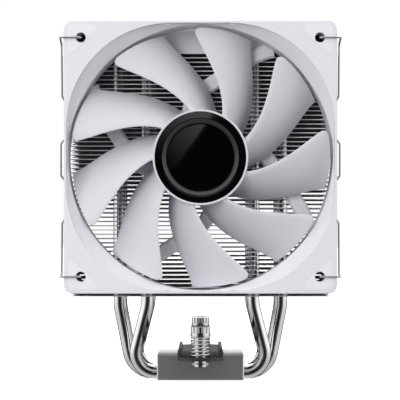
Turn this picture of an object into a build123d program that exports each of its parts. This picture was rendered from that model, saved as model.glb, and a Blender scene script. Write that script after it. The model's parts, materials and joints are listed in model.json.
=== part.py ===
from build123d import *
import math
import os

# White tower cooler for a computer processor, in millimetres.
# X runs to the right and Z up; the fan is at the front, toward -Y.
# The origin is the middle of the contact face that rests on the processor.

# Fan
FAN_SIZE = 120.0
FAN_DEPTH = 25.0
FAN_CENTRE_Z = 100.0
FAN_REAR_Y = -24.5
FAN_CORNER_R = 4.0
FRAME_EDGE = 0.4
HOLE_HALF_PITCH = 52.5
HOLE_R = 2.2
THROAT_R = 58.8
INLET_R = 65.0
INLET_DEPTH = 7.0
INLET_HALF_WIDTH = 59.0
INLET_CORNER_R = 46.0
FLANGE = 5.0
BARREL_R = 60.4
SIDE_RECESS = 1.5

# Corner pads, and the notch in the rear flange where the cable leaves
PAD_LEG = 14.6
PAD_EDGE = 5.6
PAD_CORNER_R = 1.6
PAD_THICKNESS = 0.8
PAD_PROUD = 0.15
PAD_HOLE_FIT = 0.15
PAD_REAR_PROUD = 0.5
CABLE_NOTCH_AT = (-50.8, -59.3)

# Motor plate, struts and bearing tube, moulded with the frame
PLATE_R = 20.6
PLATE_TOP = 2.4
TUBE_R = 4.5
TUBE_BORE_R = 3.4
TUBE_TOP = 14.5
STRUT_COUNT = 4
STRUT_WIDTH = 6.8
STRUT_HEIGHT = 3.2
STRUT_BEVEL = 1.0
STRUT_ROUTE = [(19.0, 15.0), (30.7, -0.9), (35.1, -9.9), (39.8, -16.5), (50.5, -26.3), (59.2, -33.7)]

# Impeller
BLADE_COUNT = 9
BLADE_TIP_R = 57.5
# Each pair is the value at the hub and at the tip: angles in degrees, the rest in mm
BLADE_LEAD = (-17.6, 13.0)
BLADE_TRAIL = (-50.0, -13.8)
BLADE_SWEEP_POWER = 1.47
BLADE_REAR = (5.2, 7.4)
BLADE_FRONT = (21.0, 20.8)
BLADE_HALF_THICKNESS = (0.85, 0.6)
BLADE_CAMBER = (1.4, 2.2)
BLADE_LOFT_RADII = (17.5, 25.0, 34.0, 44.0, 52.0, 59.5)
HUB_R = 21.1
HUB_BORE_R = 20.2
HUB_BOTTOM = 4.0
HUB_TOP = 22.6
HUB_WEB_BOTTOM = 17.2
HUB_WEB_TOP = 18.2

# Glossy cap and lens in the front of the hub
DISH_R = 17.4
DISH_FLOOR_R = 14.6
DISH_TOP = 22.4
DISH_FLOOR = 20.6
CAP_SHEET = 1.0
CAP_FIT = 0.05

# Motor, inside the hub
LABEL_R = 17.0
LABEL_THICKNESS = 0.25
SHAFT_R = 1.5
SHAFT_BOTTOM = 1.7
CLIP_GROOVE_Z = 2.4
CUP_OUTER_R = 20.1
CUP_INNER_R = 19.3
CUP_BOTTOM = 4.6
MAGNET_INNER_R = 17.7
MAGNET_BOTTOM = 5.4
MAGNET_TOP = 15.4
SLEEVE_BOTTOM = 3.2
SLEEVE_BORE_FIT = 0.03
CORE_R = 7.6
POLE_R = 17.2
POLE_RIM = 2.4
POLE_SLOT = 5.0
ARM_WIDTH = 4.4
CORE_BOTTOM = 6.6
CORE_TOP = 12.6
CORE_FIT = 0.03
POLE_COUNT = 4
COIL_START = 8.2
COIL_LENGTH = 5.8
BOARD_R = 18.6
BOARD_BOTTOM = 3.2
BOARD_TOP = 4.2
BOARD_POST_AT = 8.5
BOARD_POST_R = 1.2

# Fin stack
FIN_COUNT = 56
FIN_PITCH = 2.0
FIN_THICKNESS = 0.4
FIN_FIRST_Z = 37.8
FIN_HALF_WIDTH = 59.5
FIN_HALF_DEPTH = 24.0
FIN_RECESS_DEPTH = 1.8
FIN_LIP = 3.6
FIN_MIDDLE_EAR = 8.0

# Top cover
COVER_Z = FIN_FIRST_Z + (FIN_COUNT - 1) * FIN_PITCH + FIN_THICKNESS
COVER_HEIGHT = 11.5
COVER_WALL = 2.0
COVER_HALF_WIDTH = 60.0
COVER_HALF_DEPTH = 24.0

# Heat pipes: diameter 6 mm, bent from the base up into the fins
PIPE_R = 3.0
PIPE_FIT = 0.04
PIPE_BASE_Z = 2.2
PIPE_TOP_Z = 151.0
PIPE_TIP_Z = 154.5
INNER_X = 24.1
OUTER_X = 37.3
INNER_CORNER_X = 32.3
OUTER_CORNER_X = 31.3
INNER_BEND_R = 9.2
OUTER_BEND_R = 11.0
UPPER_BEND_R = 24.0
INNER_KNEE_Z = 34.0
OUTER_KNEE_Z = 33.0
# name, vertical x, knee z, corner x, lower bend radius, y in the fins, y in the base
PIPES = [
    ("heat_pipe_1", INNER_X, INNER_KNEE_Z, INNER_CORNER_X, INNER_BEND_R, -13.5, -11.4),
    ("heat_pipe_2", OUTER_X, OUTER_KNEE_Z, OUTER_CORNER_X, OUTER_BEND_R, -5.0, -3.8),
    ("heat_pipe_3", OUTER_X, OUTER_KNEE_Z, OUTER_CORNER_X, OUTER_BEND_R, 5.0, 3.8),
    ("heat_pipe_4", INNER_X, INNER_KNEE_Z, INNER_CORNER_X, INNER_BEND_R, 13.5, 11.4),
]

# Base
BASE_WIDTH = 39.5
BASE_DEPTH = 48.0
BASE_PARTING_Z = 5.5
BASE_TOP_Z = 10.9

# Crossbar: a channel of steel sheet that lies along Y in a groove of the base
BAR_WIDTH = 20.3
BAR_SHEET = 1.5
BAR_BOTTOM_Z = 10.2
BAR_FLANGE_Z = 13.3
BAR_HALF_LENGTH = 49.0
BAR_END_R = 8.0
BAR_SCREW_Y = 11.0
BAR_SCREW_R = 1.5
BAR_SCREW_HEAD_R = 2.8
BAR_SCREW_HEAD = 1.5
BAR_SCREW_BOTTOM_Z = 6.6

# Spring nuts: they pass through the ends of the crossbar
NUT_Y = 42.0
NUT_R = 2.9
NUT_BOTTOM_Z = 7.5
NUT_HEAD_R = 4.25
NUT_FLUTES = 14
NUT_FLUTE_R = 0.5
NUT_HEAD_Z = 21.4
NUT_TOP_Z = 25.6
NUT_RUNNING_FIT = 0.06
NUT_THREAD_R = 1.5
NUT_THREAD_DEPTH = 10.0
RING_GROOVE_R = 2.4
RING_R = 4.0
RING_BOTTOM_Z = 8.4
RING_TOP_Z = 9.2
WASHER_R = 4.6
WASHER_HEIGHT = 0.5
SPRING_WIRE_R = 0.4
SPRING_R = 4.1
SPRING_TURNS = 5.5

# Wire clips
CLIP_WIRE_R = 0.45
CLIP_FRONT_Y = -50.3
CLIP_HOOK_Y = -45.6
CLIP_FRONT_X = 61.5
CLIP_BACK_Y = -19.5
CLIP_OUT_X = 63.2
CLIP_OUT_END = 29.0
CLIP_GRIP_X = 59.3
CLIP_GRIP = (22.0, 13.0)
CLIP_HANDLE_X = 63.5
CLIP_HANDLE_HALF = 7.2
CLIP_BEND_R = 1.2

FAN_AXES = Plane(origin=(0, FAN_REAR_Y, FAN_CENTRE_Z), x_dir=(1, 0, 0), z_dir=(0, -1, 0))


def save(shape, name):
    export_step(shape, f"parts/{name}.step")


def disc(radius, bottom, top):
    """A cylinder about the local Z axis between two heights."""
    return Pos(0, 0, bottom) * Cylinder(radius, top - bottom, align=(Align.CENTER, Align.CENTER, Align.MIN))


def ring(outer, inner, bottom, top):
    """A tube about the local Z axis between two heights."""
    return disc(outer, bottom, top) - disc(inner, bottom - 1, top + 1)


def slab(width, depth, bottom, top):
    """A box centred on the local Z axis between two heights."""
    return Pos(0, 0, bottom) * Box(width, depth, top - bottom, align=(Align.CENTER, Align.CENTER, Align.MIN))


def polar(radius, degrees, height=0.0):
    angle = math.radians(degrees)
    return (radius * math.cos(angle), radius * math.sin(angle), height)


def around(shape, count, start=0.0):
    """Copies of a shape spread evenly about the local Z axis."""
    return [Rot(0, 0, start + 360.0 * step / count) * shape for step in range(count)]


def at_corners(shape):
    """Copies of a shape drawn for the upper right corner of the fan, at all four corners."""
    return [Rot(0, 0, 90 * step) * Pos(HOLE_HALF_PITCH, HOLE_HALF_PITCH, 0) * shape for step in range(4)]


def as_fan(shapes):
    """Places a shape or a list of shapes, drawn on the fan's own axes, in the cooler."""
    if isinstance(shapes, list):
        return Compound(children=[FAN_AXES * shape for shape in shapes])
    return FAN_AXES * shape_of(shapes)


def shape_of(shape):
    """The single solid of a shape, without its wrapping."""
    solids = shape.solids()
    return solids[0] if len(solids) == 1 else Compound(children=list(solids))


# ---------------------------------------------------------------- fan frame

def pad_outline():
    """Three-cornered pad around a corner hole, drawn about the hole of the upper right corner."""
    far = PAD_EDGE - PAD_LEG
    outline = Polyline((PAD_EDGE, PAD_EDGE), (far, PAD_EDGE), (PAD_EDGE, far), close=True)
    return fillet(make_face(outline).vertices(), PAD_CORNER_R) - Circle(HOLE_R + PAD_HOLE_FIT)


def strut():
    route = Spline(*[polar(radius, degrees) for radius, degrees in STRUT_ROUTE])
    start = Plane(origin=route @ 0, x_dir=(0, 0, 1), z_dir=route % 0)
    half = STRUT_WIDTH / 2
    section = make_face(
        Polyline(
            (0, -half),
            (0, half),
            (STRUT_HEIGHT - STRUT_BEVEL, half),
            (STRUT_HEIGHT, half - STRUT_BEVEL),
            (STRUT_HEIGHT, STRUT_BEVEL - half),
            (STRUT_HEIGHT - STRUT_BEVEL, -half),
            close=True,
        )
    )
    return sweep(start * section, path=route)


def fan_frame():
    square = RectangleRounded(FAN_SIZE, FAN_SIZE, FAN_CORNER_R)
    frame = extrude(square, FAN_DEPTH)
    rims = frame.faces().sort_by(Axis.Z)
    frame = chamfer(rims[0].edges() + rims[-1].edges(), FRAME_EDGE)
    waist = slab(FAN_SIZE + 2, FAN_SIZE + 2, FLANGE, FAN_DEPTH - FLANGE)
    waist -= slab(FAN_SIZE - 2 * SIDE_RECESS, FAN_SIZE - 2 * SIDE_RECESS, 0, FAN_DEPTH)
    waist -= disc(BARREL_R, 0, FAN_DEPTH)
    frame -= waist
    frame -= disc(THROAT_R, -1, FAN_DEPTH + 1)
    flare = Pos(0, 0, FAN_DEPTH - INLET_DEPTH) * Cone(
        THROAT_R, INLET_R, INLET_DEPTH, align=(Align.CENTER, Align.CENTER, Align.MIN)
    )
    inlet = RectangleRounded(2 * INLET_HALF_WIDTH, 2 * INLET_HALF_WIDTH, INLET_CORNER_R)
    frame -= flare & extrude(inlet, FAN_DEPTH + 1)
    pocket = extrude(pad_outline(), PAD_THICKNESS)
    for front_pocket in at_corners(Pos(0, 0, FAN_DEPTH - PAD_THICKNESS) * pocket):
        frame -= front_pocket
    for rear_pocket in at_corners(pocket):
        frame -= rear_pocket
    for hole in at_corners(disc(HOLE_R, -1, FAN_DEPTH + 1)):
        frame -= hole
    middle = disc(PLATE_R, 0, PLATE_TOP) + disc(TUBE_R, 0, TUBE_TOP)
    for arm in around(strut(), STRUT_COUNT):
        middle += arm & disc(THROAT_R + 0.6, -1, FAN_DEPTH)
    for support in board_supports():
        middle += support
    middle -= disc(TUBE_BORE_R, 1.0, TUBE_TOP + 1)
    middle -= disc(LABEL_R, -1, LABEL_THICKNESS)
    frame += middle
    frame -= Pos(*CABLE_NOTCH_AT, 0) * Box(6.0, 9.0, 6.0)
    return as_fan(frame)


def motor_label():
    return as_fan(disc(LABEL_R, 0, LABEL_THICKNESS))


def corner_pads_front():
    pad = extrude(pad_outline(), PAD_THICKNESS + PAD_PROUD)
    return as_fan(at_corners(Pos(0, 0, FAN_DEPTH - PAD_THICKNESS) * pad))


def corner_pads_rear():
    pad = extrude(pad_outline(), PAD_THICKNESS + PAD_REAR_PROUD)
    return as_fan(at_corners(Pos(0, 0, -PAD_REAR_PROUD) * pad))


# ------------------------------------------------------------------ impeller

def blend(pair, share):
    return pair[0] + (pair[1] - pair[0]) * share


def blade_section(radius):
    """The blade where it meets a plane at this distance from the axis."""
    share = (radius - HUB_R) / (BLADE_TIP_R - HUB_R)
    sweep_share = 1 - max(0.0, 1 - share) ** BLADE_SWEEP_POWER
    lead = blend(BLADE_LEAD, sweep_share)
    trail = blend(BLADE_TRAIL, sweep_share)
    middle = (lead + trail) / 2
    half_width = radius * math.radians(lead - trail) / 2
    rear = blend(BLADE_REAR, share)
    front = blend(BLADE_FRONT, share)
    half_thickness = blend(BLADE_HALF_THICKNESS, share)
    camber = blend(BLADE_CAMBER, share)
    slope = math.atan2(front - rear, 2 * half_width)
    across = (-math.sin(slope) * half_thickness, math.cos(slope) * half_thickness)
    bow = (-math.sin(slope) * camber, math.cos(slope) * camber)
    rear_end = (-half_width, rear)
    front_end = (half_width, front)
    centre = (bow[0], (rear + front) / 2 + bow[1])
    upper = [(point[0] + across[0], point[1] + across[1]) for point in (rear_end, centre, front_end)]
    lower = [(point[0] - across[0], point[1] - across[1]) for point in (front_end, centre, rear_end)]
    outline = Curve() + [
        ThreePointArc(*upper),
        Line(upper[2], lower[0]),
        ThreePointArc(*lower),
        Line(lower[2], upper[0]),
    ]
    out = polar(1.0, middle)
    plane = Plane(origin=polar(radius, middle), x_dir=polar(1.0, middle + 90), z_dir=out)
    return plane * make_face(outline)


def blade():
    shape = loft([blade_section(radius) for radius in BLADE_LOFT_RADII])
    band = ring(BLADE_TIP_R, HUB_R - 0.4, 0, FAN_DEPTH)
    return shape & band


def fan_impeller():
    hub = ring(HUB_R, HUB_BORE_R, HUB_BOTTOM, HUB_TOP)
    hub += disc(HUB_R - 0.3, HUB_WEB_BOTTOM, HUB_WEB_TOP)
    for vane in around(blade(), BLADE_COUNT):
        hub += vane
    hub -= disc(SHAFT_R, HUB_WEB_BOTTOM - 1, HUB_WEB_TOP - 0.4)
    return as_fan(hub)


def hub_cap():
    """Glossy black ring with a dished inside, bonded into the front of the hub."""
    profile = Polyline(
        (HUB_BORE_R - CAP_FIT, DISH_TOP),
        (DISH_R, DISH_TOP),
        (DISH_FLOOR_R, DISH_FLOOR),
        (DISH_FLOOR_R, DISH_FLOOR - CAP_SHEET),
        (DISH_R, HUB_WEB_TOP),
        (HUB_BORE_R - CAP_FIT, HUB_WEB_TOP),
        close=True,
    )
    return as_fan(revolve(Plane.XZ * make_face(profile), Axis.Z))


def hub_lens():
    return as_fan(disc(DISH_FLOOR_R - 0.03, HUB_WEB_TOP, DISH_FLOOR - 0.15))


# --------------------------------------------------------------------- motor

def rotor_cup():
    sheet = CUP_OUTER_R - CUP_INNER_R
    cup = disc(CUP_OUTER_R, CUP_BOTTOM, HUB_WEB_BOTTOM) - disc(CUP_INNER_R, 0, HUB_WEB_BOTTOM - sheet)
    cup -= disc(SHAFT_R, 0, HUB_WEB_BOTTOM + 1)
    return as_fan(cup)


def rotor_magnet():
    return as_fan(ring(CUP_INNER_R, MAGNET_INNER_R, MAGNET_BOTTOM, MAGNET_TOP))


def fan_shaft():
    shaft = disc(SHAFT_R, SHAFT_BOTTOM, HUB_WEB_TOP - 0.4)
    shaft -= ring(SHAFT_R + 1, SHAFT_R - 0.4, CLIP_GROOVE_Z, CLIP_GROOVE_Z + 0.4)
    return as_fan(chamfer(shaft.faces().sort_by(Axis.Z)[0].edges(), 0.3))


def shaft_clip():
    clip = ring(2.6, SHAFT_R - 0.35, CLIP_GROOVE_Z + 0.05, CLIP_GROOVE_Z + 0.35)
    clip -= Pos(2.0, 0, CLIP_GROOVE_Z) * Box(4.0, 1.2, 2.0)
    return as_fan(clip)


def thrust_pad():
    return as_fan(disc(TUBE_BORE_R - 0.05, 1.0, 1.65))


def bearing_sleeve():
    return as_fan(ring(TUBE_BORE_R, SHAFT_R + SLEEVE_BORE_FIT, SLEEVE_BOTTOM, TUBE_TOP - 0.5))


def stator_core():
    core = ring(CORE_R, TUBE_R + CORE_FIT, CORE_BOTTOM, CORE_TOP)
    arm_start = CORE_R - 1
    arm_end = POLE_R - POLE_RIM + 1
    arm = Pos((arm_start + arm_end) / 2, 0, 0) * slab(arm_end - arm_start, ARM_WIDTH, CORE_BOTTOM, CORE_TOP)
    for pole in around(arm, POLE_COUNT, 45):
        core += pole
    rim = ring(POLE_R, POLE_R - POLE_RIM, CORE_BOTTOM, CORE_TOP)
    for slot in around(Pos(POLE_R, 0, 0) * slab(8, POLE_SLOT, 0, FAN_DEPTH), POLE_COUNT):
        rim -= slot
    return as_fan(core + rim)


def coil_box(width, height, length):
    return Pos(COIL_START + COIL_LENGTH / 2, 0, (CORE_BOTTOM + CORE_TOP) / 2) * Box(length, width, height)


def stator_insulator():
    """A plastic bobbin around each pole."""
    core_height = CORE_TOP - CORE_BOTTOM
    sleeve = coil_box(5.6, core_height + 1.2, COIL_LENGTH)
    flanges = coil_box(8.8, core_height + 3.6, COIL_LENGTH) - coil_box(20, 20, COIL_LENGTH - 0.8)
    bobbin = sleeve + flanges - coil_box(ARM_WIDTH + 0.04, core_height + 0.04, 20)
    return as_fan(around(bobbin, POLE_COUNT, 45))


def stator_windings():
    core_height = CORE_TOP - CORE_BOTTOM
    winding = coil_box(8.4, core_height + 3.2, COIL_LENGTH - 0.84) - coil_box(5.64, core_height + 1.24, 20)
    winding = fillet(winding.edges().filter_by(Axis.X).group_by(SortBy.DISTANCE)[-1], 0.9)
    return as_fan(around(winding, POLE_COUNT, 45))


def fan_circuit_board():
    board = ring(BOARD_R, TUBE_R + 0.1, BOARD_BOTTOM, BOARD_TOP)
    wire_notch = Pos(0, -BOARD_R, 0) * slab(5, 4, BOARD_BOTTOM - 1, BOARD_TOP + 1)
    return as_fan(board - wire_notch)


def board_supports():
    return around(Pos(BOARD_POST_AT, 0, 0) * disc(BOARD_POST_R, PLATE_TOP, BOARD_BOTTOM), 3, 30)


# ------------------------------------------------------- fins, cover and pipes

def fin_outline():
    """Half of a fin's edge on the +X side, then mirrored."""
    edge = FIN_HALF_WIDTH
    floor = FIN_HALF_WIDTH - FIN_RECESS_DEPTH
    depth = FIN_HALF_DEPTH
    lip = FIN_HALF_DEPTH - FIN_LIP
    ear = FIN_MIDDLE_EAR / 2
    side = [
        (edge - 1.5, -depth),
        (edge, 1.5 - depth),
        (edge, -lip),
        (floor, -lip),
        (floor, -ear),
        (edge, -ear),
        (edge, ear),
        (floor, ear),
        (floor, lip),
        (edge, lip),
        (edge, depth - 1.5),
        (edge - 1.5, depth),
    ]
    other = [(-x, y) for x, y in reversed(side)]
    return make_face(Polyline(*side, *other, close=True))


def fin_stack():
    outline = fin_outline()
    for _, x, _, _, _, y, _ in PIPES:
        outline -= Locations((x, y), (-x, y)) * Circle(PIPE_R + PIPE_FIT)
    fin = shape_of(extrude(outline, FIN_THICKNESS))
    return Compound(children=[Pos(0, 0, FIN_FIRST_Z + step * FIN_PITCH) * fin for step in range(FIN_COUNT)])


def top_cover():
    outer = extrude(RectangleRounded(2 * COVER_HALF_WIDTH, 2 * COVER_HALF_DEPTH, 3.0), COVER_HEIGHT)
    outer = chamfer(outer.faces().sort_by(Axis.Z)[-1].edges(), 1.0)
    inner_size = (2 * (COVER_HALF_WIDTH - COVER_WALL), 2 * (COVER_HALF_DEPTH - COVER_WALL))
    inner = extrude(RectangleRounded(*inner_size, 1.5), COVER_HEIGHT - COVER_WALL)
    cover = outer - inner
    panel = RectangleRounded(2 * COVER_HALF_WIDTH - 14, 2 * COVER_HALF_DEPTH - 12, 3.0)
    cover -= Pos(0, 0, COVER_HEIGHT - 0.5) * extrude(panel, 2.0)
    post = disc(4.4, 0, COVER_HEIGHT - COVER_WALL + 0.2) - disc(PIPE_R + 0.1, -1, COVER_HEIGHT - COVER_WALL)
    for _, x, _, _, _, y, _ in PIPES:
        for side in (-x, x):
            cover += Pos(side, y, 0) * post
    return Pos(0, 0, COVER_Z) * shape_of(cover)


def pipe_path(x, knee_z, corner_x, bend_r, fin_y, base_y):
    points = [
        (-x, fin_y, PIPE_TOP_Z),
        (-x, fin_y, knee_z),
        (-corner_x, base_y, PIPE_BASE_Z),
        (corner_x, base_y, PIPE_BASE_Z),
        (x, fin_y, knee_z),
        (x, fin_y, PIPE_TOP_Z),
    ]
    return FilletPolyline(*points, radius=[UPPER_BEND_R, bend_r, bend_r, UPPER_BEND_R])


def heat_pipe(x, knee_z, corner_x, bend_r, fin_y, base_y):
    path = pipe_path(x, knee_z, corner_x, bend_r, fin_y, base_y)
    start = Plane(origin=path @ 0, z_dir=path % 0)
    pipe = sweep(start * Circle(PIPE_R), path=path)
    tip_height = PIPE_TIP_Z - PIPE_TOP_Z
    tip = Cone(PIPE_R, 1.1, tip_height, align=(Align.CENTER, Align.CENTER, Align.MIN))
    for side in (-x, x):
        pipe += Pos(side, fin_y, PIPE_TOP_Z) * tip
    pipe -= slab(200, 100, -20, 0)
    return shape_of(pipe)


# ---------------------------------------------------------- base and crossbar

def pipe_grooves():
    """The stretches of the heat pipes that run through the base, a little larger."""
    groove = Rot(0, 90, 0) * Cylinder(PIPE_R + PIPE_FIT, BASE_WIDTH + 10)
    return [Pos(0, base_y, PIPE_BASE_Z) * groove for *_, base_y in PIPES]


def base_block():
    block = slab(BASE_WIDTH, BASE_DEPTH, 0, BASE_PARTING_Z)
    block = chamfer(block.edges().filter_by(Axis.Z), 0.5)
    for groove in pipe_grooves():
        block -= groove
    return shape_of(block)


def base_top_block():
    block = slab(BASE_WIDTH, BASE_DEPTH, BASE_PARTING_Z, BASE_TOP_Z)
    block = chamfer(block.edges().filter_by(Axis.Z), 0.5)
    block -= slab(BAR_WIDTH + 0.3, BASE_DEPTH + 2, BAR_BOTTOM_Z, BASE_TOP_Z + 1)
    for y in (-BAR_SCREW_Y, BAR_SCREW_Y):
        block -= Pos(0, y, 0) * disc(BAR_SCREW_R, BAR_SCREW_BOTTOM_Z, BASE_TOP_Z + 1)
    return shape_of(block)


def crossbar():
    plan = RectangleRounded(BAR_WIDTH, 2 * BAR_HALF_LENGTH, BAR_END_R)
    bar = extrude(plan, BAR_FLANGE_Z - BAR_BOTTOM_Z)
    bar -= slab(BAR_WIDTH - 2 * BAR_SHEET, 2 * BAR_HALF_LENGTH + 2, BAR_SHEET, 9)
    for end in (-1, 1):
        bar -= Pos(0, end * (BAR_HALF_LENGTH - 1), 0) * slab(BAR_WIDTH + 2, 9, BAR_SHEET, 9)
    for end in (-1, 1):
        bar -= Pos(0, end * NUT_Y, 0) * disc(NUT_R + NUT_RUNNING_FIT, -1, 9)
        bar -= Pos(0, end * BAR_SCREW_Y, 0) * disc(BAR_SCREW_R + 0.1, -1, 9)
    bar = Pos(0, 0, BAR_BOTTOM_Z) * shape_of(bar)
    return bar


def crossbar_screws():
    floor = BAR_BOTTOM_Z + BAR_SHEET
    screw = disc(BAR_SCREW_R, BAR_SCREW_BOTTOM_Z + 0.4, floor)
    head = disc(BAR_SCREW_HEAD_R, floor, floor + BAR_SCREW_HEAD)
    head = fillet(head.faces().sort_by(Axis.Z)[-1].edges(), 0.6)
    for turn in (0, 90):
        head -= Pos(0, 0, floor + BAR_SCREW_HEAD) * Rot(0, 0, turn) * Box(3.0, 0.7, 1.6)
    screw = shape_of(screw + head)
    return Compound(children=[Pos(0, y, 0) * screw for y in (-BAR_SCREW_Y, BAR_SCREW_Y)])


# ---------------------------------------------------------------- spring nuts

def spring_nut():
    nut = disc(NUT_R, NUT_BOTTOM_Z, NUT_HEAD_Z)
    nut -= ring(NUT_R + 1, RING_GROOVE_R, RING_BOTTOM_Z, RING_TOP_Z)
    head = disc(NUT_HEAD_R, NUT_HEAD_Z, NUT_TOP_Z)
    head = chamfer(head.faces().sort_by(Axis.Z)[-1].edges(), 0.5)
    flute = Pos(NUT_HEAD_R + 0.2, 0, 0) * disc(NUT_FLUTE_R, NUT_HEAD_Z + 1, NUT_TOP_Z + 1)
    for groove in around(flute, NUT_FLUTES):
        head -= groove
    for turn in (0, 90):
        head -= Pos(0, 0, NUT_TOP_Z) * Rot(0, 0, turn) * Box(5.2, 1.2, 4.0)
    nut += head
    nut -= disc(NUT_THREAD_R, NUT_BOTTOM_Z - 1, NUT_BOTTOM_Z + NUT_THREAD_DEPTH)
    return shape_of(nut)


def retaining_ring():
    body = ring(RING_R, RING_GROOVE_R + 0.02, RING_BOTTOM_Z + 0.05, RING_TOP_Z - 0.05)
    body -= Pos(RING_R, 0, RING_BOTTOM_Z) * Box(2 * RING_R, 1.8, 4)
    return shape_of(body)


def nut_washer():
    return shape_of(ring(WASHER_R, NUT_R + NUT_RUNNING_FIT, NUT_HEAD_Z - WASHER_HEIGHT, NUT_HEAD_Z))


def nut_spring():
    bottom = BAR_BOTTOM_Z + BAR_SHEET + SPRING_WIRE_R + 0.02
    height = NUT_HEAD_Z - WASHER_HEIGHT - SPRING_WIRE_R - 0.02 - bottom
    coil = Helix(height / SPRING_TURNS, height, SPRING_R)
    start = Plane(origin=coil @ 0, z_dir=coil % 0)
    wire = sweep(start * Circle(SPRING_WIRE_R), path=coil, is_frenet=True)
    return Pos(0, 0, bottom) * shape_of(wire)


# ----------------------------------------------------------------- wire clips

def wire_clip(side):
    """Spring wire: hooked into two corner holes, over the fan's side, to a finger loop."""
    hole_z = HOLE_HALF_PITCH
    upper = [
        (HOLE_HALF_PITCH, CLIP_HOOK_Y, hole_z),
        (HOLE_HALF_PITCH, CLIP_FRONT_Y, hole_z),
        (CLIP_FRONT_X, CLIP_FRONT_Y, hole_z),
        (CLIP_OUT_X, CLIP_BACK_Y, hole_z),
        (CLIP_OUT_X - 0.2, CLIP_BACK_Y, CLIP_OUT_END),
        (CLIP_GRIP_X, CLIP_BACK_Y, CLIP_GRIP[0]),
        (CLIP_GRIP_X, CLIP_BACK_Y, CLIP_GRIP[1]),
        (CLIP_HANDLE_X, CLIP_BACK_Y, CLIP_HANDLE_HALF),
    ]
    lower = [(x, y, -z) for x, y, z in reversed(upper)]
    points = [(side * x, y, FAN_CENTRE_Z + z) for x, y, z in upper + lower]
    route = FilletPolyline(*points, radius=CLIP_BEND_R)
    start = Plane(origin=route @ 0, z_dir=route % 0)
    return shape_of(sweep(start * Circle(CLIP_WIRE_R), path=route))


# ---------------------------------------------------------------------- build

os.makedirs("parts", exist_ok=True)

save(fan_frame(), "fan_frame")
save(motor_label(), "motor_label")
save(corner_pads_front(), "corner_pads_front")
save(corner_pads_rear(), "corner_pads_rear")
save(fan_impeller(), "fan_impeller")
save(hub_cap(), "hub_cap")
save(hub_lens(), "hub_lens")
save(rotor_cup(), "rotor_cup")
save(rotor_magnet(), "rotor_magnet")
save(fan_shaft(), "fan_shaft")
save(shaft_clip(), "shaft_clip")
save(thrust_pad(), "thrust_pad")
save(bearing_sleeve(), "bearing_sleeve")
save(stator_core(), "stator_core")
save(stator_insulator(), "stator_insulator")
save(stator_windings(), "stator_windings")
save(fan_circuit_board(), "fan_circuit_board")
save(fin_stack(), "fin_stack")
save(top_cover(), "top_cover")
for pipe_name, *pipe_sizes in PIPES:
    save(heat_pipe(*pipe_sizes), pipe_name)
save(base_block(), "base_block")
save(base_top_block(), "base_top_block")
save(crossbar(), "crossbar")
save(crossbar_screws(), "crossbar_screws")
for end_name, end_y in (("front", -NUT_Y), ("rear", NUT_Y)):
    save(Pos(0, end_y, 0) * spring_nut(), f"{end_name}_spring_nut")
    save(Pos(0, end_y, 0) * retaining_ring(), f"{end_name}_retaining_ring")
    save(Pos(0, end_y, 0) * nut_washer(), f"{end_name}_washer")
    save(Pos(0, end_y, 0) * nut_spring(), f"{end_name}_spring")
save(wire_clip(-1), "wire_clip_left")
save(wire_clip(1), "wire_clip_right")
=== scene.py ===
# %% [markdown]
# # A white tower cooler for a computer processor
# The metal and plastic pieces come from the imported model. It is loaded first and never moved,
# because every piece added here has to sit in the same place and follow the same joints.

import json
import math

import bpy
import numpy as np
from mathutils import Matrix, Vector


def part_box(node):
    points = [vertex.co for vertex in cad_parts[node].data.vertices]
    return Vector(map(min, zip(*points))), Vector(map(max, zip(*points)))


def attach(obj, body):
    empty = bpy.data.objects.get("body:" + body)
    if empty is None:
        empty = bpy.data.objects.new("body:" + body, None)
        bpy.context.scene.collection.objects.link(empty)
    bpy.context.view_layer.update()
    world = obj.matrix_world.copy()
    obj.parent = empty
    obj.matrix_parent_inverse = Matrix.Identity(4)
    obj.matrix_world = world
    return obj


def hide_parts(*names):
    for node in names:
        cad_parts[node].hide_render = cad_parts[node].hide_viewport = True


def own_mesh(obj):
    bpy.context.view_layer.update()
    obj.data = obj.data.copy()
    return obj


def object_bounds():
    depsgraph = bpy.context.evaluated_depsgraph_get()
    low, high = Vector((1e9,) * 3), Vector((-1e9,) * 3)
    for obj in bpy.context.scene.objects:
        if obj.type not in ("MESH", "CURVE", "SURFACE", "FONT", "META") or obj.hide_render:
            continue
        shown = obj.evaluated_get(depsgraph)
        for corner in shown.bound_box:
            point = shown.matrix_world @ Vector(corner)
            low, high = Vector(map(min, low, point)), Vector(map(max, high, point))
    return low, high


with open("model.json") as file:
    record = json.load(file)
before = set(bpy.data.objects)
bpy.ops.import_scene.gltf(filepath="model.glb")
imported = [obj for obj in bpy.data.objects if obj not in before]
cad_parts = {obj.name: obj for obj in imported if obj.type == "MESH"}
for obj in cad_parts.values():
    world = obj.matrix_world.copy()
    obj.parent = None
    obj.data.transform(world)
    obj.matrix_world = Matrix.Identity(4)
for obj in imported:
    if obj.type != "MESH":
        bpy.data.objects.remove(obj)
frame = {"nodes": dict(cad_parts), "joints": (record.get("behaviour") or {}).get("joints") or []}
cad_low, cad_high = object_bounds()
MM = 0.001
print("pieces in the model:", len(frame["nodes"]))

# %% [markdown]
# Everything round in the fan turns about one axis, so the fan's own centre and rear plane are
# the most useful places in the scene. They are read from the frame piece, not typed in.

# %% Where the fan is
fan_low, fan_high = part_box("fan_frame")
FAN_X = (fan_low.x + fan_high.x) / 2
FAN_Z = (fan_low.z + fan_high.z) / 2
FAN_REAR = fan_high.y
FAN_FRONT = fan_low.y


def fan_point(radius_mm, angle, depth_mm):
    """A place in the fan: distance from its axis, angle in radians, and height above its rear plane."""
    x = FAN_X + radius_mm * MM * np.cos(angle)
    z = FAN_Z + radius_mm * MM * np.sin(angle)
    y = FAN_REAR - depth_mm * MM + 0 * x
    return np.stack([x, y, z], axis=-1)


print("fan axis at x", round(FAN_X, 4), "z", round(FAN_Z, 4))

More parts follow.
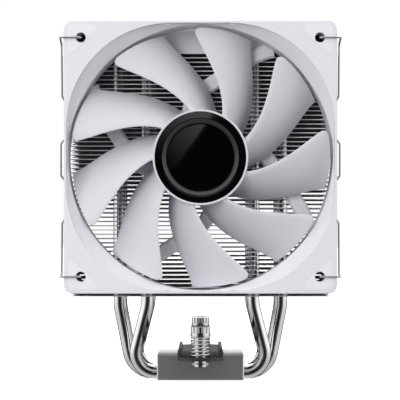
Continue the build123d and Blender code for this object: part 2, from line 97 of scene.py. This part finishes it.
# %% [markdown]
# ## Camera
# A product view from far away with a long lens: the tower stands upright and hardly converges.
# The camera stays level, so vertical lines stay vertical, and a small lens shift frames the
# tower instead of a tilt.

# %% Camera
CAMERA_DISTANCE = 0.78
EYE_HEIGHT = 0.068
camera_data = bpy.data.cameras.new("camera")
camera_data.lens = 160.0
camera_data.sensor_width = 36.0
camera_data.shift_x = -0.001
camera_data.shift_y = 0.075
camera_data.clip_end = 50.0
camera = bpy.data.objects.new("camera", camera_data)
bpy.context.scene.collection.objects.link(camera)
camera.location = (FAN_X, FAN_FRONT - CAMERA_DISTANCE, EYE_HEIGHT)
camera.rotation_euler = (math.radians(90), 0, 0)
bpy.context.scene.camera = camera

# %% [markdown]
# ## Shader sums
# A shader is a sheet of nodes. Long chains of Math nodes are hard to read, so a small class
# wraps one output socket and lets ordinary Python sums add the nodes.


# %% A value that travels between nodes
class Flow:
    """One output socket on a sheet of nodes, usable in sums with numbers and other values."""

    def __init__(self, sheet, socket):
        self.sheet = sheet
        self.socket = socket

    def _sum(self, operation, first, second):
        return self.sheet.node("ShaderNodeMath", {"operation": operation}, {0: first, 1: second})

    def __add__(self, other):
        return self._sum("ADD", self, other)

    def __radd__(self, other):
        return self._sum("ADD", other, self)

    def __sub__(self, other):
        return self._sum("SUBTRACT", self, other)

    def __rsub__(self, other):
        return self._sum("SUBTRACT", other, self)

    def __mul__(self, other):
        return self._sum("MULTIPLY", self, other)

    def __rmul__(self, other):
        return self._sum("MULTIPLY", other, self)

    def __pow__(self, other):
        return self._sum("POWER", self, other)


# %% [markdown]
# A sheet is the node tree of one finish. Its `node` method makes any node: the settings come
# first, because some of them change which sockets the node has, and the inputs come after.


# %% A sheet of nodes, and the finish made on it
class Sheet:
    """A node tree with one way to add a node."""

    def __init__(self, tree):
        self.tree = tree

    def node(self, kind, settings=None, inputs=None, output=0):
        made = self.tree.nodes.new(kind)
        for name, value in (settings or {}).items():
            setattr(made, name, value)
        for name, value in (inputs or {}).items():
            self.feed(made.inputs[name], value)
        return Flow(self, made.outputs[output])

    def feed(self, socket, value):
        if isinstance(value, Flow):
            self.tree.links.new(value.socket, socket)
        else:
            socket.default_value = value


class Finish(Sheet):
    """One material: a shader with fixed values, plus what varies over the surface."""

    def __init__(self, name, colour, **fixed):
        self.material = bpy.data.materials.new(name)
        self.material.use_nodes = True
        super().__init__(self.material.node_tree)
        self.shader = self.tree.nodes["Principled BSDF"]
        self.colour = (*colour, 1.0)
        self.set("Base Color", self.colour)
        for socket, value in fixed.items():
            self.set(socket.replace("_", " "), value)

    def set(self, socket, value):
        self.feed(self.shader.inputs[socket], value)

    def place(self):
        """Object coordinates, which are metres in the model's own frame."""
        return self.node("ShaderNodeTexCoord", output="Object")

    def stretched(self, x, y, z):
        """Object coordinates, scaled along each axis, for grain that runs one way."""
        settings = {"operation": "MULTIPLY"}
        return self.node("ShaderNodeVectorMath", settings, {0: self.place(), 1: (x, y, z)})

    def noise(self, size_mm, detail=2.0, where=None):
        """Soft blotches of about that size."""
        inputs = {"Vector": where or self.place(), "Scale": 1.0 / (size_mm * MM), "Detail": detail}
        return self.node("ShaderNodeTexNoise", {}, inputs)

    def tint(self, mask, other):
        """The base colour, turning to another where the mask is 1."""
        return self.node(
            "ShaderNodeMix",
            {"data_type": "RGBA"},
            {"Factor": mask, "A": self.colour, "B": (*other, 1.0)},
            output="Result",
        )

    def bump(self, height, depth_mm, strength=1.0):
        inputs = {"Height": height, "Distance": depth_mm * MM, "Strength": strength}
        self.set("Normal", self.node("ShaderNodeBump", {}, inputs))


print("shader helpers are ready")

# %% [markdown]
# ## White moulded plastic
# The fan frame comes out of a steel mould with a fine spark-eroded texture. The skin is satin:
# it holds a soft highlight, and a faint orange-peel breaks it up. A little noise in the colour
# and the roughness keeps the large flat face from looking like paper.


# %% White plastics
def moulded(name, colour, shade, roughness, grain_mm=0.35, grain_depth=0.006):
    finish = Finish(name, colour, IOR=1.49)
    blotch = finish.noise(14.0, 3.0)
    grain = finish.noise(grain_mm, 1.0)
    finish.set("Base Color", finish.tint(blotch ** 2.0, shade))
    finish.set("Roughness", roughness - 0.05 + blotch * 0.10)
    finish.bump(grain, grain_depth)
    return finish


frame_white = moulded("frame_white", (0.80, 0.79, 0.84), (0.77, 0.765, 0.815), 0.38)
blade_white = moulded("blade_white", (0.70, 0.70, 0.74), (0.67, 0.67, 0.715), 0.44, 0.25, 0.004)
pad_white = moulded("pad_white", (0.84, 0.835, 0.88), (0.82, 0.815, 0.86), 0.62, 0.5, 0.01)
bobbin_cream = moulded("bobbin_cream", (0.72, 0.70, 0.62), (0.66, 0.63, 0.55), 0.5)
cover_white = moulded("cover_white", (0.82, 0.82, 0.85), (0.79, 0.79, 0.82), 0.34, 0.2, 0.003)
print("white plastics made")

# %% [markdown]
# ## Black gloss
# The cap in the hub is polished black plastic, and the lens in its middle is dark glass. Both
# are almost black by themselves, so what one sees is the reflection: roughness stays very low,
# with only a breath of haze, because a perfect mirror looks computed.

# %% Black gloss and dark glass
cap_black = Finish("cap_black", (0.0012, 0.0012, 0.0014), IOR=1.6)
cap_haze = cap_black.noise(6.0, 3.0)
cap_black.set("Roughness", 0.02 + cap_haze * 0.03)

lens_dark = Finish("lens_dark", (0.0006, 0.0006, 0.0008), IOR=1.52)
lens_haze = lens_dark.noise(9.0, 2.0)
lens_dark.set("Roughness", 0.015 + lens_haze * 0.02)
print("black gloss made")

# %% [markdown]
# ## Bare metal
# Rolling and drawing leave fine lines along a strip, a rod or a wire. Noise that is stretched
# along one axis gives those lines. They move the roughness more than the bump, because on real
# metal they are too shallow to see as relief and show only in how a reflection smears.


# %% Rolled and drawn metals
def drawn_metal(name, colour, roughness, stretch, line_mm, line_depth, dull=0.10, **fixed):
    """Metal with lines that run along one axis."""
    finish = Finish(name, colour, Metallic=1.0, **fixed)
    lines = finish.noise(line_mm, 2.0, finish.stretched(*stretch))
    cloud = finish.noise(11.0, 2.0)
    finish.set("Base Color", finish.tint(cloud, tuple(0.90 * part for part in colour)))
    finish.set("Roughness", roughness - dull / 2 + lines * dull)
    finish.bump(lines, line_depth)
    return finish


pipe_nickel = drawn_metal("pipe_nickel", (0.86, 0.86, 0.87), 0.07, (1.0, 1.0, 0.03), 0.5, 0.001, 0.05)
base_metal = drawn_metal("base_metal", (0.76, 0.76, 0.79), 0.46, (0.02, 1.0, 1.0), 0.18, 0.002, 0.12)
chrome = drawn_metal("chrome", (0.78, 0.78, 0.80), 0.12, (1.0, 1.0, 1.0), 1.5, 0.001, 0.05)
wire_steel = drawn_metal("wire_steel", (0.58, 0.58, 0.60), 0.26, (1.0, 0.05, 0.05), 0.2, 0.002, 0.10)
motor_steel = drawn_metal("motor_steel", (0.42, 0.42, 0.43), 0.38, (1.0, 1.0, 1.0), 0.6, 0.003)
bearing_bronze = drawn_metal("bearing_bronze", (0.62, 0.42, 0.20), 0.45, (1.0, 1.0, 1.0), 0.15, 0.01)
winding_copper = drawn_metal("winding_copper", (0.62, 0.24, 0.10), 0.25, (1.0, 0.02, 1.0), 0.3, 0.03)
print("metals made")

# %% [markdown]
# ## Fins
# A fin is rolled aluminium sheet 0.4 mm thick. Its flat faces look dark, partly because they mirror
# the next fin and the dark end of the room, partly from painted shade: their metal colour is far
# darker than bare aluminium. Its cut edges are painted pale and matt, a painted highlight that
# shows as thin pale lines. One material does both: the upright part of the surface's normal,
# squared, is 1 on the flat faces and 0 on the cut edges, and that mask mixes the two finishes.

# %% Fin sheet
# The pale matt colour of the cut edges is a painted highlight.
PAINTED_EDGE_HIGHLIGHT = (0.80, 0.80, 0.83)
# The dark metal colour of the flat faces is partly painted shade between the fins.
fin_metal = drawn_metal("fin_metal", (0.34, 0.34, 0.36), 0.22, (0.02, 1.0, 1.0), 0.25, 0.001, 0.06)
facing = fin_metal.node("ShaderNodeNewGeometry", output="True Normal")
upright = fin_metal.node("ShaderNodeSeparateXYZ", {}, {0: facing}, output=2)
flat_face = upright * upright
# On the cut edges the colour turns to the painted highlight, and the metal to matt.
fin_metal.set("Base Color", fin_metal.tint(1 - flat_face, PAINTED_EDGE_HIGHLIGHT))
fin_metal.set("Metallic", flat_face)
print("fin sheet made")

# %% [markdown]
# ## Black steel, magnet, board and label
# The mounting bar is steel sheet with a black coating: satin, with a fine grain. The magnet
# is a dull sintered ring, the circuit board green under a clear resist, and the label blank.


# %% Painted and dull finishes
def dull_finish(name, colour, shade, roughness, grain_mm, grain_depth, **fixed):
    finish = Finish(name, colour, **fixed)
    grain = finish.noise(grain_mm, 3.0)
    finish.set("Base Color", finish.tint(grain, shade))
    finish.set("Roughness", roughness - 0.06 + grain * 0.12)
    finish.bump(grain, grain_depth)
    return finish


bar_black = dull_finish("bar_black", (0.022, 0.022, 0.024), (0.030, 0.030, 0.032), 0.42, 0.3, 0.004)
magnet_dark = dull_finish("magnet_dark", (0.035, 0.034, 0.033), (0.055, 0.052, 0.05), 0.65, 0.4, 0.02)
board_green = dull_finish("board_green", (0.012, 0.10, 0.035), (0.016, 0.13, 0.05), 0.35, 2.0, 0.004)
label_silver = dull_finish("label_silver", (0.62, 0.62, 0.64), (0.58, 0.58, 0.60), 0.5, 3.0, 0.001)
print("dull finishes made")

# %% [markdown]
# ## Giving each piece its finish
# A piece from the model keeps its mesh. Only what is in its material slots changes.

# %% Finishes of the pieces
finishes = {
    "fan_frame": frame_white,
    "corner_pads_front": pad_white,
    "corner_pads_rear": pad_white,
    "fan_impeller": blade_white,
    "hub_cap": cap_black,
    "hub_lens": lens_dark,
    "motor_label": label_silver,
    "rotor_cup": motor_steel,
    "rotor_magnet": magnet_dark,
    "fan_shaft": chrome,
    "shaft_clip": wire_steel,
    "thrust_pad": bobbin_cream,
    "bearing_sleeve": bearing_bronze,
    "stator_core": motor_steel,
    "stator_insulator": bobbin_cream,
    "stator_windings": winding_copper,
    "fan_circuit_board": board_green,
    "fin_stack": fin_metal,
    "top_cover": cover_white,
    "base_block": base_metal,
    "base_top_block": base_metal,
    "crossbar": bar_black,
    "crossbar_screws": chrome,
    "wire_clip_left": wire_steel,
    "wire_clip_right": wire_steel,
}
for number in range(1, 5):
    finishes[f"heat_pipe_{number}"] = pipe_nickel
for end in ("front", "rear"):
    finishes[f"{end}_spring_nut"] = chrome
    finishes[f"{end}_washer"] = chrome
    finishes[f"{end}_spring"] = chrome
    finishes[f"{end}_retaining_ring"] = wire_steel


def wear(piece, finish):
    """Puts one finish on the whole of a piece."""
    piece.data.materials.clear()
    piece.data.materials.append(finish.material)


for node, finish in finishes.items():
    wear(frame["nodes"][node], finish)
print("finished nodes:", len(finishes), "of", len(frame["nodes"]))

# %% [markdown]
# ## Meshes made here
# Two helpers turn arrays of points into pieces. `skin` covers a grid of points with quads, and
# `lathe` turns a profile about the fan's axis, the way a round part is turned.


# %% Mesh helpers
def skin(grid, close_rows=False, close_columns=False, start=0):
    """Quads over a grid of points, numbered from start."""
    rows, columns = grid.shape[:2]
    faces = []
    for row in range(rows if close_rows else rows - 1):
        below = (row + 1) % rows
        for column in range(columns if close_columns else columns - 1):
            beside = (column + 1) % columns
            corners = (
                row * columns + column,
                row * columns + beside,
                below * columns + beside,
                below * columns + column,
            )
            faces.append([start + corner for corner in corners])
    return faces


def piece_from(name, points, faces, finish, smooth_angle=35.0):
    """An object from points and faces, smooth except at edges sharper than an angle."""
    mesh = bpy.data.meshes.new(name)
    mesh.from_pydata([tuple(point) for point in points], [], faces)
    mesh.validate()
    mesh.update()
    made = bpy.data.objects.new(name, mesh)
    bpy.context.scene.collection.objects.link(made)
    wear(made, finish)
    mesh.shade_smooth()
    mesh.set_sharp_from_angle(angle=math.radians(smooth_angle))
    print(name, "points", len(mesh.vertices))
    return made


TURN = 2 * math.pi
LATHE_STEPS = 160


def lathe(profile):
    """Points and faces of a closed profile of (radius, depth) in mm, turned about the fan's axis."""
    angles = np.arange(LATHE_STEPS) * TURN / LATHE_STEPS
    grid = np.stack([fan_point(radius, angles, depth) for radius, depth in profile])
    return grid.reshape(-1, 3), skin(grid, close_rows=True, close_columns=True)


HOLD = 1.2


def rounded(corners, radius, steps=4):
    """The corners of a closed profile, each cut by a small arc.

    An extra point just outside each end of an arc keeps the flat stretch beside it truly flat.
    """
    out = []
    count = len(corners)
    for index, corner in enumerate(corners):
        here = np.array(corner, float)
        back = np.array(corners[index - 1], float) - here
        ahead = np.array(corners[(index + 1) % count], float) - here
        reach = min(radius, 0.4 * np.linalg.norm(back), 0.4 * np.linalg.norm(ahead))
        start = back / np.linalg.norm(back) * reach
        end = ahead / np.linalg.norm(ahead) * reach
        out.append(here + start * HOLD)
        for step in range(steps + 1):
            share = step / steps
            out.append(here + (1 - share) ** 2 * start + share**2 * end)
        out.append(here + end * HOLD)
    return [tuple(point) for point in out]


# %% [markdown]
# ## The impeller
# Nine blades grow out of a round hub. Each blade is a thin airfoil that twists: steep at the
# hub, flat at the tip. Its front view is a swept leaf, and the corner of the leading edge at
# the tip is rounded. A loft in the CAD model gives the space it takes; here each blade is a
# grid of points, so that the leading edge is truly round and the surface shades smoothly.
# The hub is a cup with a thin web across it, turned from a profile.

# %% Blade shape
BLADES = 9
HUB_R = 21.1
TIP_R = 57.5
ROOT_R = 20.7
LEADING_DEGREES = (-17.6, 13.0)
TRAILING_DEGREES = (-50.0, -13.8)
SWEEP_POWER = 1.47
REAR_DEPTH = (5.2, 7.4)
FRONT_DEPTH = (21.0, 20.8)
CAMBER = (1.4, 2.2)
HALF_THICKNESS = (0.85, 0.60)
NOSE_SHARE = 0.07
TAIL_SHARE = 0.02
TAIL_THINNING = 0.45
TIP_CORNER_R = 3.2
ROOT_FILLET = 0.9
ROOT_SWELL = 1.3


def between(pair, share):
    return pair[0] + (pair[1] - pair[0]) * share


def blade_section(radius, chord, side, thin):
    """Points of one section. chord runs 0 to 1 from trailing to leading edge; side is +1 in front."""
    share = np.clip((radius - HUB_R) / (TIP_R - HUB_R), 0.0, 1.0)
    swept = 1 - (1 - share) ** SWEEP_POWER
    leading = math.radians(between(LEADING_DEGREES, swept))
    trailing = math.radians(between(TRAILING_DEGREES, swept))
    corner = max(0.0, TIP_CORNER_R - (TIP_R - radius))
    cut = (TIP_CORNER_R - math.sqrt(max(0.0, TIP_CORNER_R**2 - corner**2))) / radius
    rear = between(REAR_DEPTH, share)
    front = between(FRONT_DEPTH, share)
    width = (leading - trailing) * radius
    slope = math.atan2(front - rear, width)
    kept = 1 - cut / (leading - trailing)
    along = chord * kept
    from_lead = 1 - chord
    nose = np.sqrt(np.clip(from_lead / NOSE_SHARE, 0.0, 1.0))
    tail = np.sqrt(np.clip(chord / TAIL_SHARE, 0.0, 1.0))
    half = between(HALF_THICKNESS, share) * nose * tail * (1 - TAIL_THINNING * from_lead) * thin
    half = half * (1 + ROOT_SWELL * math.exp(-max(0.0, radius - HUB_R) / ROOT_FILLET))
    bow = between(CAMBER, share) * 4 * along * (1 - along)
    lift = bow + side * half
    angle = trailing + (leading - trailing) * along - math.sin(slope) * lift / radius
    depth = rear + (front - rear) * along + math.cos(slope) * lift
    return fan_point(radius, angle, depth)


# %% Blades and hub in one piece
CHORD_STEPS = 22
SPAN_ROWS = 26
CORNER_ROWS = 8
RIM_ROWS = 4
RIM_THINNEST = 0.05
TIP_ROUND = 0.35
half_turn = np.linspace(0.0, math.pi, CHORD_STEPS)
chord_front = (1 - np.cos(half_turn)) / 2
chord_loop = np.concatenate([chord_front, chord_front[-2:0:-1]])
side_loop = np.concatenate([np.ones(CHORD_STEPS), -np.ones(CHORD_STEPS - 2)])
inner_radii = np.linspace(ROOT_R, TIP_R - TIP_CORNER_R, SPAN_ROWS)
outward = np.linspace(0, 1, CORNER_ROWS + 1)[1:]
corner_radii = TIP_R - TIP_ROUND - (TIP_CORNER_R - TIP_ROUND) * (1 - outward) ** 1.5
rim_angles = np.linspace(0.0, math.pi / 2, RIM_ROWS + 1)[1:]
rim_radii = TIP_R - TIP_ROUND + TIP_ROUND * np.sin(rim_angles)
rim_thin = np.clip(np.cos(rim_angles), RIM_THINNEST, 1.0)
radii = np.concatenate([inner_radii, corner_radii, rim_radii])
thins = np.concatenate([np.ones(len(inner_radii) + len(corner_radii)), rim_thin])
one_blade = np.stack([blade_section(r, chord_loop, side_loop, t) for r, t in zip(radii, thins)])


def turned(points, angle):
    """Points turned about the fan's axis."""
    x = points[..., 0] - FAN_X
    z = points[..., 2] - FAN_Z
    cos, sin = math.cos(angle), math.sin(angle)
    return np.stack([FAN_X + x * cos - z * sin, points[..., 1], FAN_Z + x * sin + z * cos], axis=-1)


HUB_BORE_R = 20.2
HUB_SPAN = (4.0, 22.6)
WEB_BORE_R = 2.0
WEB_SPAN = (17.2, 18.2)
HUB_PROFILE = [
    (HUB_BORE_R, HUB_SPAN[0]),
    (HUB_R, HUB_SPAN[0]),
    (HUB_R, HUB_SPAN[1]),
    (HUB_BORE_R, HUB_SPAN[1]),
    (HUB_BORE_R, WEB_SPAN[1]),
    (WEB_BORE_R, WEB_SPAN[1]),
    (WEB_BORE_R, WEB_SPAN[0]),
    (HUB_BORE_R, WEB_SPAN[0]),
]
hub_points, impeller_faces = lathe(rounded(HUB_PROFILE, 0.25, 3))
impeller_points = [hub_points]
for blade in range(BLADES):
    grid = turned(one_blade, blade * TURN / BLADES)
    start = sum(len(block) for block in impeller_points)
    impeller_faces += skin(grid, close_columns=True, start=start)
    columns = grid.shape[1]
    last = start + (len(radii) - 1) * columns
    impeller_faces.append([start + column for column in reversed(range(columns))])
    impeller_faces.append([last + column for column in range(columns)])
    impeller_points.append(grid.reshape(-1, 3))
impeller = piece_from("impeller_blades", np.concatenate(impeller_points), impeller_faces, blade_white, 50.0)
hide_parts("fan_impeller")
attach(impeller, "rotor")

# %% [markdown]
# ## Cap
# The cap is a polished ring with a bowl inside. The bowl is steep at its rim and level where it
# meets the lens, so its reflection fades from the pale walls at the rim to the dark side of the
# room at its foot. That fade needs a curved wall, and thin lines of light need rounded edges, so
# the ring is turned here. The lens stays the flat disc of the model.

# %% Turn the cap
CAP_OUTER_R = 20.15
CAP_FACE = 22.4
CAP_BACK = 18.3
CAP_EDGE_R = 0.2
EDGE_STEPS = 4
BOWL_RIM_R = 17.4
BOWL_FOOT_R = 14.6
BOWL_FOOT = 20.55
BOWL_BACK = 19.6
BOWL_STEPS = 18
BOWL_POWER = 1.75
RIM_HOLD = 0.03


def bowl_depth(radius):
    """Depth of the bowl's wall: level at its foot, and steeper and steeper up to its rim."""
    climb = (radius - BOWL_FOOT_R) / (BOWL_RIM_R - BOWL_FOOT_R)
    return BOWL_FOOT + (CAP_FACE - BOWL_FOOT) * climb**BOWL_POWER


cap_box = [
    (CAP_OUTER_R, CAP_FACE),
    (BOWL_RIM_R, CAP_FACE),
    (BOWL_RIM_R, CAP_BACK),
    (CAP_OUTER_R, CAP_BACK),
]
cap_edge = rounded(cap_box, CAP_EDGE_R, EDGE_STEPS)
corner_points = len(cap_edge) // len(cap_box)
outer_front = cap_edge[:corner_points]
outer_back = cap_edge[-corner_points:]
bowl = [(radius, bowl_depth(radius)) for radius in np.linspace(BOWL_RIM_R, BOWL_FOOT_R, BOWL_STEPS)]
bowl_rear = [(BOWL_FOOT_R, BOWL_BACK), (BOWL_RIM_R, CAP_BACK)]
cap_profile = outer_front + [(BOWL_RIM_R + RIM_HOLD, CAP_FACE)] + bowl + bowl_rear + outer_back
cap_points, cap_faces = lathe(cap_profile)
cap = piece_from("hub_cap_ring", cap_points, cap_faces, cap_black, 40.0)
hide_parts("hub_cap")
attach(cap, "rotor")

# %% [markdown]
# ## Springs
# Under each screw head sits a coil spring of chromed wire, a little wider at its foot. It is
# the one piece that changes its length: it stands on the bar, which doesn't move, and is
# squeezed as the nut goes down. Here it rides on the cooler, and the length the press joint would press it
# to is printed.

# %% Wind the springs
SPRING_TURNS = 6.0
WIRE_R = 0.42
FOOT_R = 4.45
HEAD_R = 3.85
RING_POINTS = 12
STEPS_PER_TURN = 40
CLOSED_SHARE = 0.12
CLOSED_CLIMB = 0.04


def spring_centreline(low, high):
    """Points of a coil that lies flat for the first and last part of a turn."""
    steps = int(SPRING_TURNS * STEPS_PER_TURN) + 1
    share = np.linspace(0.0, 1.0, steps)
    climb = np.clip((share - CLOSED_SHARE / 2) / (1 - CLOSED_SHARE), 0.0, 1.0)
    climb = CLOSED_CLIMB * share + (1 - CLOSED_CLIMB) * climb
    angle = share * SPRING_TURNS * TURN
    radius = (FOOT_R + (HEAD_R - FOOT_R) * share) * MM
    centre = (low + high) / 2
    rise = low.z + WIRE_R * MM + (high.z - low.z - 2 * WIRE_R * MM) * climb
    return np.stack([centre.x + radius * np.cos(angle), centre.y + radius * np.sin(angle), rise], axis=-1)


def tube(path, radius):
    """Rings of points around a path, with the path's own direction as their normal."""
    along = np.gradient(path, axis=0)
    along /= np.linalg.norm(along, axis=1)[:, None]
    across = np.cross(along, np.array([0.0, 0.0, 1.0]))
    across /= np.linalg.norm(across, axis=1)[:, None]
    up = np.cross(across, along)
    turn = np.arange(RING_POINTS) * TURN / RING_POINTS
    ring = across[:, None, :] * np.cos(turn)[:, None] + up[:, None, :] * np.sin(turn)[:, None]
    return path[:, None, :] + ring * radius


def end_caps(rows, columns):
    return [list(reversed(range(columns))), [(rows - 1) * columns + column for column in range(columns)]]


NUT_TRAVEL = {joint["name"]: joint["range_m"][1] for joint in frame["joints"] if "range_m" in joint}
for end in ("front", "rear"):
    low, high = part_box(f"{end}_spring")
    wire = tube(spring_centreline(low, high), WIRE_R * MM)
    rows, columns = wire.shape[:2]
    faces = skin(wire, close_columns=True) + end_caps(rows, columns)
    coil = piece_from(f"{end}_coil_spring", wire.reshape(-1, 3), faces, chrome, 60.0)
    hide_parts(f"{end}_spring")
    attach(coil, "cooler")
    height = high.z - low.z
    kept = 1 - NUT_TRAVEL[f"{end}_nut_press"] / height
    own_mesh(coil)
    print(end, "spring", round(height / MM, 1), "mm, pressed to", round(height * kept / MM, 1), "mm")

# %% [markdown]
# ## Floor and light
# The tower stands on a plain pale floor in a white room. The floor glows faintly so that it
# runs into the background with no line. It is left out of reflections and lights nothing, as
# if the table had been cut away: so the metal underneath stays crisp, and the fan keeps its
# soft shadows. The floor still takes the tower's shadow.

# %% Floor
FLOOR_HALF = 6.0
FLOOR_GAP_MM = 0.05
FLOOR_GLOW = 0.62
floor_mesh = bpy.data.meshes.new("floor")
floor_z = cad_low.z - FLOOR_GAP_MM * MM
corners = [(-1, -1), (1, -1), (1, 1), (-1, 1)]
floor_points = [(x * FLOOR_HALF, y * FLOOR_HALF, floor_z) for x, y in corners]
floor_mesh.from_pydata(floor_points, [], [[0, 1, 2, 3]])
floor = bpy.data.objects.new("floor", floor_mesh)
bpy.context.scene.collection.objects.link(floor)
floor_white = Finish("floor_white", (0.90, 0.90, 0.90), Roughness=0.9, Emission_Strength=FLOOR_GLOW)
floor_white.set("Emission Color", (1.0, 1.0, 1.0, 1.0))
wear(floor, floor_white)
floor.visible_glossy = False
floor.visible_diffuse = False
print("floor at", round(floor_z / MM, 2), "mm")

# %% [markdown]
# The room is white to the eye of the camera. What the metal mirrors is another matter: the walls
# at the sides and the ceiling are white, and the walls behind the camera and behind the tower
# are dark, so that chrome shows light and dark bands, the gaps between the fins stay dark, and
# so does the black lens. Matt surfaces get a smaller share of the room, which leaves the
# modelling to the key lamp.


# %% Room
def ramp(sheet, value, low, high):
    """0 below low, 1 above high, and a soft step between."""
    settings = {"interpolation_type": "SMOOTHSTEP"}
    inputs = {"Value": value, "From Min": low, "From Max": high}
    return sheet.node("ShaderNodeMapRange", settings, inputs)


BACKDROP = 1.02
ROOM_DARK = 0.02
ROOM_BRIGHT = 1.35
LOW_WALL_SHARE = 0.40
MATT_SHARE = 0.74
world = bpy.data.worlds.new("room")
bpy.context.scene.world = world
world.use_nodes = True
room = Sheet(world.node_tree)
room.tree.nodes.clear()
direction = room.node("ShaderNodeTexCoord", output="Generated")
toward_back = room.node("ShaderNodeSeparateXYZ", {}, {0: direction}, output=1)
upward = room.node("ShaderNodeSeparateXYZ", {}, {0: direction}, output=2)

# %% Brightness of the walls
CAMERA_WALL = (0.55, 0.97)
TOWER_WALL = (0.30, 0.75)
CEILING = (0.20, 0.60)
RISE = (-0.55, 0.45)
behind_camera = ramp(room, 0 - toward_back, *CAMERA_WALL)
below_ceiling = 1 - ramp(room, upward, *CEILING)
behind_tower = ramp(room, toward_back, *TOWER_WALL) * below_ceiling
height_share = LOW_WALL_SHARE + ramp(room, upward, *RISE) * (1 - LOW_WALL_SHARE)
glow = ROOM_DARK + (1 - behind_camera - behind_tower) * height_share * ROOM_BRIGHT
seen = room.node("ShaderNodeLightPath", output="Is Camera Ray")
matt = room.node("ShaderNodeLightPath", output="Is Diffuse Ray")
strength = seen * BACKDROP + (1 - seen) * glow * (1 - matt * (1 - MATT_SHARE))
background = room.node("ShaderNodeBackground", {}, {"Color": (1.0, 1.0, 1.0, 1.0), "Strength": strength})
world_output = room.tree.nodes.new("ShaderNodeOutputWorld")
room.tree.links.new(background.socket, world_output.inputs["Surface"])
print("room nodes:", len(room.tree.nodes))

# %% [markdown]
# Three soft lamps do the modelling: a key in front on the left and a little above, a weaker
# fill on the right, and a strip above and behind that draws the top edges. The two in front are
# left out of mirrors, where they would show as white squares in the black cap.


# %% Lamps
def softbox(name, place, aim, width, height, watts, shown_in_mirrors=True):
    data = bpy.data.lights.new(name, "AREA")
    data.shape = "RECTANGLE"
    data.size = width
    data.size_y = height
    data.energy = watts
    lamp = bpy.data.objects.new(name, data)
    bpy.context.scene.collection.objects.link(lamp)
    lamp.location = place
    lamp.rotation_euler = (Vector(aim) - Vector(place)).to_track_quat("-Z", "Y").to_euler()
    lamp.visible_glossy = shown_in_mirrors
    return lamp


middle = (0.0, 0.0, 0.09)
softbox("key", (-0.50, -0.95, 0.30), middle, 0.6, 0.6, 6.0, shown_in_mirrors=False)
softbox("fill", (0.95, -0.85, 0.35), middle, 0.8, 0.8, 3.2, shown_in_mirrors=False)
softbox("rim", (0.0, 0.8, 0.9), middle, 1.0, 0.4, 4.0)
print("lamps:", len(bpy.data.lights))

# %% [markdown]
# The slanted grey sheen on the lens is the mirror image of a card held above the camera. Its
# lower right corner is cut off, and that cut is the straight edge one sees in the glass. The
# card fades toward its lower left, so the sheen is strongest at the top. It shows only in
# mirrors and lights nothing.

# %% Card for the sheen
CARD_BEHIND_CAMERA = 0.12
CARD_LEFT = -0.100
CARD_LOW = 0.105
CARD_HIGH = 0.220
CUT_LOW_X = -0.040
CUT_HIGH_X = 0.0415
CARD_SLANT = 0.75
CARD_FADE = (0.055, 0.165)
card_y = FAN_FRONT - CAMERA_DISTANCE - CARD_BEHIND_CAMERA
card_shape = [
    (CARD_LEFT, CARD_LOW),
    (CUT_LOW_X, CARD_LOW),
    (CUT_HIGH_X, CARD_HIGH),
    (CARD_LEFT, CARD_HIGH),
]
card_mesh = bpy.data.meshes.new("sheen_card")
card_mesh.from_pydata([(x, card_y, z) for x, z in card_shape], [], [[0, 1, 2, 3]])
card = bpy.data.objects.new("sheen_card", card_mesh)
bpy.context.scene.collection.objects.link(card)
card_glow = Finish("card_glow", (0.0, 0.0, 0.0), Roughness=1.0, Emission_Strength=1.25)
card_x = card_glow.node("ShaderNodeSeparateXYZ", {}, {0: card_glow.place()}, output=0)
card_z = card_glow.node("ShaderNodeSeparateXYZ", {}, {0: card_glow.place()}, output=2)
card_fade = ramp(card_glow, card_z * CARD_SLANT + card_x, *CARD_FADE)
card_glow.set("Emission Color", card_glow.tint(card_fade, (1.0, 1.0, 1.0)))
wear(card, card_glow)
card.visible_camera = False
card.visible_diffuse = False
card.visible_shadow = False
print("card behind the camera at y", round(card_y, 3))

# %% [markdown]
# ## Colour
# The plain transform keeps white white. The size of the model's own box is then printed.

# %% Colour, and the size of the model
bpy.context.scene.view_settings.view_transform = "Standard"
bpy.context.scene.view_settings.look = "None"

print("cad box", [round(v / MM, 1) for v in cad_high - cad_low])
